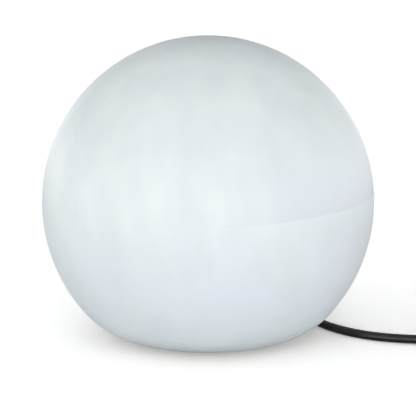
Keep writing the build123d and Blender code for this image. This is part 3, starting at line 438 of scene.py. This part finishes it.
lead_route = [
    gland_mouth,
    (0, 0.078, 0.0125),
    (0, 0.121, 0.005),
    (0.0284, 0.1494, 0.004),
    (0.0686, 0.1494, 0.004),
    (0.097, 0.121, 0.004),
    (0.097, 0.082, 0.004),
    (0.098, 0.048, 0.004),
    (0.105, 0.022, 0.004),
    (0.124, -0.007, 0.004),
    (0.152, -0.029, 0.004),
    (0.190, -0.039, 0.0041),
    (0.232, coil_arrival, coil_base),
    (coil_centre_x - coil_straight, coil_arrival, coil_base),
]
coil_route = []
for step in range(round(turns_per_layer * coil_layers * points_per_turn) + 1):
    angle = 2 * math.pi * step / points_per_turn
    phase = angle % (2 * layer_angle)
    inwards = min(phase, 2 * layer_angle - phase)
    if inwards < layer_angle / 2:
        radius = coil_outer - coil_rate * (math.hypot(inwards, coil_ease) - coil_ease)
    else:
        radius = coil_inner + coil_rate * (math.hypot(layer_angle - inwards, coil_ease) - coil_ease)
    radius /= math.cos(math.pi / points_per_turn)
    level = coil_base
    for layer in range(1, coil_layers):
        climb = max(-0.5, min(0.5, (angle - layer * layer_angle) / math.pi))
        level += coil_pitch * (1 + math.sin(math.pi * climb)) / 2
    bearing = angle - math.pi / 2
    coil_route.append((coil_centre_x + radius * math.cos(bearing),
                       coil_centre_y + radius * math.sin(bearing), level))
tail_x = coil_centre_x + coil_outer
plug_x = 0.338
plug_axis_height = 0.019
plug_start = 0.086
tail_route = [
    (tail_x, coil_centre_y + coil_straight, coil_top),
    (tail_x, 0.034, coil_top),
    (plug_x, 0.068, plug_axis_height),
    (plug_x, plug_start, plug_axis_height),
]
route = lead_route + coil_route + tail_route

cord_curve = bpy.data.curves.new("garden_cord", "CURVE")
cord_curve.dimensions = "3D"
spline = cord_curve.splines.new("NURBS")
spline.points.add(len(route) - 1)
for point, place in zip(spline.points, route):
    point.co = (*place, 1)
    point.radius = cord_radius
spline.order_u = 3
spline.use_endpoint_u = True
spline.resolution_u = 10
cord_curve.bevel_depth = 1.0
cord_curve.bevel_resolution = 8
cord_curve.use_fill_caps = True
garden_cord = bpy.data.objects.new("garden_cord", cord_curve)
bpy.context.scene.collection.objects.link(garden_cord)
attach(garden_cord, "base")
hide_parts("cord_lead", "cord_coil", "cord_tail")

# Rubber sheath: satin, roughness 0.34, with a faint bloom in patches and the fine skin of extruded rubber
rubber, rubber_shader = make_finish("cord_rubber", 0.34, IOR=1.52)
mottle(rubber, rubber_shader, 0.009, "#101011", "#1A1A1B")
grain(rubber, rubber_shader, 0.0006, 0.0001, strength=0.25)
cord_curve.materials.append(rubber)
dress(rubber, "inner_lead")

# Two rubber straps hold the coil
strap, strap_shader = make_finish("strap_rubber", 0.66, IOR=1.52)
mottle(strap, strap_shader, 0.004, "#252527", "#303032")
grain(strap, strap_shader, 0.0008, 0.0002, strength=0.4)
dress(strap, "cord_ties")

# ---------------------------------------------------------------- plug
# Moulded rubber mains plug, a shade greyer and duller than the cord, with two pins and two earth clips. Its
# grip ribs are moulded on, and the cord is moulded into its tail.
plug_rubber, plug_shader = make_finish("plug_rubber", 0.55, IOR=1.52)
mottle(plug_rubber, plug_shader, 0.010, "#1A1A1B", "#242425")
grain(plug_rubber, plug_shader, 0.0009, 0.0001)
dress(plug_rubber, "plug_body")

plug_tail = 0.026
grip_start = plug_start + plug_tail
grip_length = 0.022
grip_margin = 0.06
neck_radius = 0.0075
grip_radius = 0.013
rib_count = 14
rib_half = 0.0007
rib_proud = 0.0006
rib_root = 0.0012
rib_stations = 12
rib_corners = 3
rib_points = []
rib_faces = []
for rib in range(rib_count):
    turn = 2 * math.pi * rib / rib_count
    across = Vector((-math.sin(turn), 0, math.cos(turn)))
    out = Vector((math.cos(turn), 0, math.sin(turn)))
    first = len(rib_points)
    for station in range(rib_stations):
        along = station / (rib_stations - 1)
        swell = math.sin(math.pi * along) ** 0.5
        surface = neck_radius + (grip_radius - neck_radius) * along ** 2 * (3 - 2 * along)
        level = grip_margin + (1 - 2 * grip_margin) * along
        foot = Vector((plug_x, grip_start + grip_length * level, plug_axis_height))
        for sideways, rise in ((-rib_half, -rib_root), (0, rib_proud * swell), (rib_half, -rib_root)):
            rib_points.append(foot + across * sideways + out * (surface + rise))
    for station in range(rib_stations - 1):
        here = first + rib_corners * station
        following = here + rib_corners
        for corner in range(rib_corners):
            beside = (corner + 1) % rib_corners
            rib_faces.append((here + corner, following + corner, following + beside, here + beside))
    rib_faces.append((first + 2, first + 1, first))
    last = first + rib_corners * (rib_stations - 1)
    rib_faces.append((last, last + 1, last + 2))
grip_ribs = new_piece("plug_grip_ribs", rib_points, rib_faces, plug_rubber, "base")

# ---------------------------------------------------------------- floor and light
# A plain white floor, with a shadow painted into its colour for the camera where the globe stands close over
# it, in a white studio: low bright walls all round, a soft ceiling light behind the globe, and a wide softbox
# above the camera.
floor_half = 80
floor_mesh = bpy.data.meshes.new("floor")
floor_mesh.from_pydata([(-floor_half, -floor_half, 0), (floor_half, -floor_half, 0),
                        (floor_half, floor_half, 0), (-floor_half, floor_half, 0)], [], [(0, 1, 2, 3)])
floor = bpy.data.objects.new("floor", floor_mesh)
bpy.context.scene.collection.objects.link(floor)
floor_glow = 0.24
floor_reach = 1.66
floor_bounce = "#CCCCCC"
shadow_reach = 0.22
shadow_tone = (0.525, 0.49, 0.45)
floor_white = bpy.data.materials.new("floor_white")
floor_white.use_nodes = True
floor_white.node_tree.nodes.clear()
seen = add(floor_white, "LightPath").outputs["Is Camera Ray"]
# Painted shadow: the camera sees the floor darker and a little warmer wherever the globe or cord stands close
# over it, by ambient occlusion
near_globe = add(floor_white, "AmbientOcclusion", {"Distance": shadow_reach}, samples=16)
painted_shadow = add(floor_white, "Mix", {"Factor": near_globe.outputs["AO"],
                                     "A": [floor_reach * share for share in shadow_tone] + [1],
                                     "B": [floor_reach] * 3 + [1]}, data_type="RGBA")
tone = add(floor_white, "Mix", {"Factor": seen, "A": paint(floor_bounce), "B": painted_shadow.outputs["Result"]},
           data_type="RGBA")
painted = add(floor_white, "BsdfDiffuse", {"Color": tone.outputs["Result"]})
dimmed = add(floor_white, "Math", {0: seen, 1: floor_glow}, operation="MULTIPLY")
glow = add(floor_white, "Emission", {"Color": (1, 1, 1, 1), "Strength": dimmed.outputs[0]})
both = add(floor_white, "AddShader", {0: painted.outputs[0], 1: glow.outputs[0]})
add(floor_white, "OutputMaterial", {"Surface": both.outputs[0]})
floor_mesh.materials.append(floor_white)

wall_light = 4.65
wall_from = 0.05
wall_to = 0.30
front_gain = 0.32
left_gain = 0.04
ceiling_from = 0.50
ceiling_to = 0.65
ceiling_light = 0.78
ceiling_spill = 0.36
ceiling_back = 0.80
key_direction = (0.0, -0.80, 0.60)
key_focus = 8.0
key_light = 1.15
world = bpy.data.worlds.new("studio")
world.use_nodes = True
world.node_tree.nodes.clear()
bpy.context.scene.world = world
direction = add(world, "TexCoord").outputs["Generated"]
axes = add(world, "SeparateXYZ", {"Vector": direction}).outputs
# Low bright walls all round, brightest in front and a little brighter on the left
low_band = add(world, "MapRange", {"Value": axes["Z"], "From Min": wall_from, "From Max": wall_to,
                                   "To Min": wall_light, "To Max": 0.0})
front = add(world, "Math", {0: axes["Y"], 1: -front_gain, 2: 1.0}, operation="MULTIPLY_ADD")
sided = add(world, "Math", {0: axes["X"], 1: -left_gain, 2: front.outputs[0]}, operation="MULTIPLY_ADD")
walls = add(world, "Math", {0: low_band.outputs[0], 1: sided.outputs[0]}, operation="MULTIPLY")
# Soft ceiling light behind the globe
high_band = add(world, "MapRange", {"Value": axes["Z"], "From Min": ceiling_from, "From Max": ceiling_to,
                                    "To Min": 0.0, "To Max": ceiling_light})
back = add(world, "Math", {0: axes["Y"], 1: ceiling_back, 2: ceiling_spill}, operation="MULTIPLY_ADD")
behind = add(world, "Math", {0: back.outputs[0], 1: 0.0}, operation="MAXIMUM")
filled = add(world, "Math", {0: high_band.outputs[0], 1: behind.outputs[0], 2: walls.outputs[0]},
             operation="MULTIPLY_ADD")
# Wide softbox above the camera
towards_key = add(world, "VectorMath", {0: direction, 1: key_direction}, operation="DOT_PRODUCT")
facing_key = add(world, "Math", {0: towards_key.outputs["Value"], 1: 0.0}, operation="MAXIMUM")
key_lobe = add(world, "Math", {0: facing_key.outputs[0], 1: key_focus}, operation="POWER")
room = add(world, "Math", {0: key_lobe.outputs[0], 1: key_light, 2: filled.outputs[0]},
           operation="MULTIPLY_ADD")
# The camera itself sees plain white
camera_ray = add(world, "LightPath").outputs["Is Camera Ray"]
shown = add(world, "Mix", {"Factor": camera_ray, "A": room.outputs[0], "B": 1.0}, data_type="FLOAT")
sky = add(world, "Background", {"Color": (1, 1, 1, 1), "Strength": shown.outputs[0]})
add(world, "OutputWorld", {"Surface": sky.outputs[0]})

bpy.context.view_layer.update()
